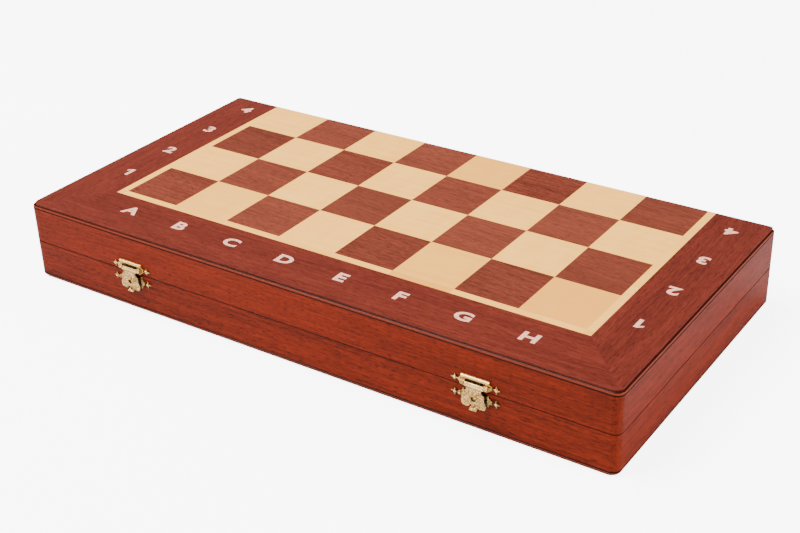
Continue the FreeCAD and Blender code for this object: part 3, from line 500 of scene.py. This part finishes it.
def board_marks(half):
    below = half == "lower"
    proud = 0.005 * mm
    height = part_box(half + "_border_veneer")[0 if below else 1].z + (-proud if below else proud)
    letter_line = case_low.y + 28.7 * mm
    letter_pitch = 48.6 * mm
    letter_slope = -0.5 * mm  # the row is printed a little out of square
    letter_shift = 0.4 * mm
    number_columns = ((case_low.x + 26.0 * mm, 1.8 * mm, 0),
                      (case_high.x - 24.2 * mm, -1.4 * mm, math.pi))
    marks = []
    for n, letter in enumerate("ABCDEFGH"):
        along = n - 3.5
        where = Vector((along * letter_pitch + letter_shift, letter_line + along * letter_slope, height))
        marks.append(printed_mark(letter, where, 0, below))
    for n in range(4):
        number = str(8 - n if below else 1 + n)
        across = squares_front + (n + 0.5) * square
        for x, up, turn in number_columns:
            turned = turn + (math.pi if below else 0)
            marks.append(printed_mark(number, Vector((x, across + up, height)), turned, below))
    piece = join_meshes(half + "_board_print", marks, ink, half + "_case")


for half in ("lower", "upper"):
    board_marks(half)


# ------------------------------------------------------------------ hinges and latches
# Pressed and plated sheet brass: two butt hinges let into the back rims, and two hasp latches whose
# plates are pinned to the front with round-headed nails, stamped all over with a worn scroll.
def make_worn_plating():
    """Handled plating: tarnish in cloudy patches, fine scratches and a stamped relief."""
    group, given, made = new_group(
        "worn_plating",
        {"Place": (0.0, 0.0, 0.0), "Bright": (0.9, 0.75, 0.45, 1), "Tarnished": (0.5, 0.35, 0.16, 1),
         "Stamping": 1.0},
        {"Color": "Color", "Height": "Float", "Roughness": "Float"})
    clouds = remap(group, stretched_noise(group, given["Place"], (0.16, 0.16, 0.16), detail=4), 0.36, 0.70)
    stamped = stretched_noise(group, given["Place"], (0.85, 0.85, 0.85), detail=2)
    ridges = remap(group, stamped, 0.40, 0.60)
    scratches = remap(group, stretched_noise(group, given["Place"], (0.5, 4.0, 4.0), detail=2), 0.55, 0.75)
    valleys = calculate(group, "MULTIPLY", remap(group, ridges, 0.0, 0.7, 1.0, 0.0), given["Stamping"])
    tone = calculate(group, "MULTIPLY", clouds, 0.4)
    tone = calculate(group, "ADD", tone, calculate(group, "MULTIPLY", valleys, 0.8), clamp=True)
    group.links.new(blend_colours(group, tone, given["Bright"], given["Tarnished"]), made["Color"])
    pressed = calculate(group, "MULTIPLY", ridges, given["Stamping"])
    scratched = calculate(group, "ADD", pressed, calculate(group, "MULTIPLY", scratches, 0.1))
    group.links.new(scratched, made["Height"])
    group.links.new(remap(group, clouds, 0, 1, 0.22, 0.42), made["Roughness"])
    return group


worn_plating = make_worn_plating()
# A near-black brown, painted on the latches as shade behind and under the flaps, in the crease under each
# roll, and round the nail heads and star necks.
painted_brass_shade = (0.030, 0.016, 0.006, 1)


def plated_brass(name, bright, tarnished, depth, stamping, painted_shade_mask=None):
    """Plating over a stamping that fades out on the rolled parts; the last argument masks where shade is
    painted over the plating.
    """
    material, tree, shader, place = start_material(name, 0.3)
    shader.inputs["Metallic"].default_value = 1.0
    plating = add_group(tree, worn_plating, Bright=bright, Tarnished=tarnished)
    tree.links.new(place, plating.inputs["Place"])
    axes = tree.nodes.new("ShaderNodeSeparateXYZ")
    tree.links.new(place, axes.inputs[0])
    if callable(stamping):
        tree.links.new(stamping(tree, axes.outputs), plating.inputs["Stamping"])
    else:
        plating.inputs["Stamping"].default_value = stamping
    colour = plating.outputs["Color"]
    if painted_shade_mask:
        # Painted shade: where the mask is set, the plating is darkened to a near-black brown.
        colour = blend_colours(tree, painted_shade_mask(tree, axes.outputs), colour, painted_brass_shade)
    tree.links.new(colour, shader.inputs["Base Color"])
    tree.links.new(plating.outputs["Roughness"], shader.inputs["Roughness"])
    relief(tree, shader, plating.outputs["Height"], depth, 1.0)
    return material


flap_low, flap_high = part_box("left_latch_flap")
other_low, other_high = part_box("right_latch_flap")
left_middle, right_middle = (flap_low.x + flap_high.x) / 2, (other_low.x + other_high.x) / 2
latch_shift, latch_reach = (left_middle + right_middle) / 2, (right_middle - left_middle) / 2


def below_roll(tree, axes):
    return remap(tree, axes["Z"], flap_high.z - 3.6 * mm, flap_high.z - 3.1 * mm, 1.0, 0.0)


def below_bar(tree, axes):
    bar_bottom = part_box("latch_plates")[1].z - 3.4 * mm
    return remap(tree, axes["Z"], bar_bottom, bar_bottom + 0.4 * mm, 1.0, 0.0)


def behind_flap_face(tree, axes):
    """Painted shade on the flap's cut edges and back, where it stands off the plate, and in the crease under
    its roll.
    """
    back = remap(tree, axes["Y"], flap_low.y + 0.7 * mm, flap_low.y + 1.1 * mm)
    from_crease = calculate(tree, "ABSOLUTE", calculate(tree, "SUBTRACT", axes["Z"], flap_high.z - 3.3 * mm))
    crease = remap(tree, from_crease, 0.12 * mm, 0.4 * mm, 0.8, 0.0)
    return calculate(tree, "MAXIMUM", back, crease)


def from_latch_middle(tree, axes):
    """How far a point lies to either side of its own latch's middle."""
    shifted = calculate(tree, "SUBTRACT", axes["X"], latch_shift)
    inward = calculate(tree, "SUBTRACT", calculate(tree, "ABSOLUTE", shifted), latch_reach)
    return calculate(tree, "ABSOLUTE", inward)


def round_the_nails(tree, axes, plate):
    """Painted shade in a ring round each nail's head and along the narrow neck of each star."""
    nail = latch_half_width - star_reach
    away = from_latch_middle(tree, axes)
    up = calculate(tree, "SUBTRACT", axes["Z"], star_height[plate])
    across = calculate(tree, "SUBTRACT", away, nail)
    squared = [calculate(tree, "MULTIPLY", value, value) for value in (up, across)]
    radius = calculate(tree, "SQRT", calculate(tree, "ADD", *squared))
    ring = remap(tree, calculate(tree, "ABSOLUTE", calculate(tree, "SUBTRACT", radius, nail_head_radius)),
                 0.15 * mm, 0.45 * mm, 0.9, 0.0)
    neck_place = calculate(tree, "ABSOLUTE", calculate(tree, "SUBTRACT", away, nail - neck_distance))
    neck = remap(tree, neck_place, 0.15 * mm, 0.5 * mm, 0.9, 0.0)
    return calculate(tree, "MAXIMUM", ring, neck)


def latch_plate_dirt(tree, axes):
    return round_the_nails(tree, axes, "latch_plates")


star_reach, neck_distance, nail_head_radius = 3.3 * mm, 2.2 * mm, 1.35 * mm
latch_half_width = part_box("latch_plates")[1].x - right_middle
star_height = {"latch_plates": (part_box("upper_screws_and_nails")[0].z + 1.15 * mm),
               "catch_plates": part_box("catch_plates")[0].z + 8.1 * mm}


def under_flap(tree, axes):
    """Painted shade on the catch plate behind the flap, all but its button and the tab below, and round its
    nails.
    """
    away = from_latch_middle(tree, axes)
    plate = remap(tree, away, 8.2 * mm, 9.4 * mm, 1.0, 0.0)
    round_button = remap(tree, away, 1.6 * mm, 2.1 * mm)
    above_tab = remap(tree, axes["Z"], 20.0 * mm, 20.8 * mm)
    covered = calculate(tree, "MULTIPLY", calculate(tree, "MULTIPLY", plate, round_button), above_tab)
    return calculate(tree, "MAXIMUM", covered, round_the_nails(tree, axes, "catch_plates"))


gold, old_gold = (0.86, 0.54, 0.185, 1), (0.27, 0.135, 0.036, 1)
new_brass, dull_brass = (0.84, 0.60, 0.28, 1), (0.45, 0.29, 0.11, 1)
metalwork = {
    "flap_brass": (plated_brass("flap_brass", gold, old_gold, 0.45 * mm, below_roll, behind_flap_face),
                   ("left_latch_flap", "right_latch_flap")),
    "latch_brass": (plated_brass("latch_brass", gold, old_gold, 0.35 * mm, below_bar, latch_plate_dirt),
                    ("latch_plates",)),
    "catch_brass": (plated_brass("catch_brass", gold, old_gold, 0.35 * mm, 1.0, under_flap),
                    ("catch_plates",)),
    "smooth_brass": (plated_brass("smooth_brass", new_brass, dull_brass, 0.03 * mm, 0.0),
                     ("lower_hinge_leaves", "upper_hinge_leaves", "hinge_pins", "latch_pins",
                      "lower_screws_and_nails", "upper_screws_and_nails")),
}
for material, names in metalwork.values():
    dress(material, *names)


# ------------------------------------------------------------------ trays
# Two moulded inserts sprayed with dark green flock, dropped between the rails, with a trough for
# every man and a long finger groove across each row.
flock, tree, shader, place = start_material("green_flock", 0.95)
shader.inputs["Sheen Weight"].default_value = 0.6
shader.inputs["Sheen Roughness"].default_value = 0.5
shader.inputs["Sheen Tint"].default_value = (0.35, 0.6, 0.42, 1)
shader.inputs["Specular IOR Level"].default_value = 0.15
nap = stretched_noise(tree, place, (2.5, 2.5, 2.5), detail=3)
brushed = remap(tree, stretched_noise(tree, place, (0.02, 0.05, 0.05), detail=3), 0.35, 0.65)
tufts = remap(tree, nap, 0.35, 0.65)
dark_nap = blend_colours(tree, tufts, (0.003, 0.015, 0.008, 1), (0.010, 0.040, 0.020, 1))
stroked = calculate(tree, "MULTIPLY", brushed, 0.4)
tree.links.new(blend_colours(tree, stroked, dark_nap, (0.018, 0.060, 0.033, 1)), shader.inputs["Base Color"])
relief(tree, shader, nap, 0.3 * mm, 0.7)
dress(flock, "lower_tray", "upper_tray")


# ------------------------------------------------------------------ chessmen
# Thirty-two turned men, boxwood for white and black-stained hornbeam for black, polished with wax;
# the grain runs up each man, so it lies along the case's depth here.
def man_wood(name, pale, deep, figure, roughness):
    material, tree, shader, place = start_material(name, roughness, coat=0.35, coat_roughness=0.2)
    wood = pale_wood(tree, turned_place(tree, place, (0, 0, quarter)), pale, deep, figure)
    tree.links.new(wood["Color"], shader.inputs["Base Color"])
    relief(tree, shader, wood["Height"], 0.03 * mm, 0.4)
    return material


men_finish = {
    "white": man_wood("boxwood", (0.80, 0.58, 0.32, 1), (0.55, 0.34, 0.15, 1), 0.8, 0.35),
    "black": man_wood("stained_hornbeam", (0.040, 0.022, 0.016, 1), (0.012, 0.007, 0.005, 1), 0.9, 0.30),
}
for name in nodes:
    colour = name.split("_")[0]
    if colour in men_finish:
        dress(men_finish[colour], name)


# ------------------------------------------------------------------ felt discs
# A disc of dark green felt under every man, 1.2 mm thick, die-cut a little smaller than the foot
# and glued on; the men lie on their sides, so the discs stand upright at their feet.
felt, tree, shader, place = start_material("green_felt", 0.95)
shader.inputs["Sheen Weight"].default_value = 0.4
fibres = stretched_noise(tree, place, (3.5, 1.2, 3.5), detail=3)
pressed_fibres = remap(tree, fibres, 0.35, 0.65)
tree.links.new(blend_colours(tree, pressed_fibres, (0.010, 0.045, 0.022, 1), (0.030, 0.100, 0.052, 1)),
               shader.inputs["Base Color"])
relief(tree, shader, fibres, 0.2 * mm, 0.6)
felt_thickness = 1.2 * mm
felt_share = 0.455  # the disc's radius as a share of the foot's width


def felt_disc(man, foot_side):
    """One disc at the foot of a lying man; foot_side is -1 where his foot points to the front."""
    low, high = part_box(man)
    foot = low.y if foot_side < 0 else high.y
    middle = Vector(((low.x + high.x) / 2, foot + foot_side * felt_thickness / 2, (low.z + high.z) / 2))
    radius = felt_share * (high.x - low.x)
    disc = bmesh.new()
    bmesh.ops.create_cone(disc, cap_ends=True, segments=48, radius1=radius, radius2=radius,
                          depth=felt_thickness)
    rims = [edge for edge in disc.edges if len(edge.link_faces) == 2 and edge.calc_face_angle() > 1]
    bmesh.ops.bevel(disc, geom=rims, offset=0.25 * mm, segments=2, affect="EDGES")
    upright = Matrix.Translation(middle) @ Matrix.Rotation(quarter, 4, "X")
    bmesh.ops.transform(disc, matrix=upright, verts=disc.verts)
    mesh = bpy.data.meshes.new("felt")
    disc.to_mesh(mesh)
    disc.free()
    return mesh


for colour, half in (("white", "lower"), ("black", "upper")):
    discs = []
    for name in nodes:
        if name.startswith(colour + "_"):
            foot_side = -1 if (colour == "white") != ("pawn" in name) else 1
            discs.append(felt_disc(name, foot_side))
    join_meshes(colour + "_felts", discs, felt, half + "_case")
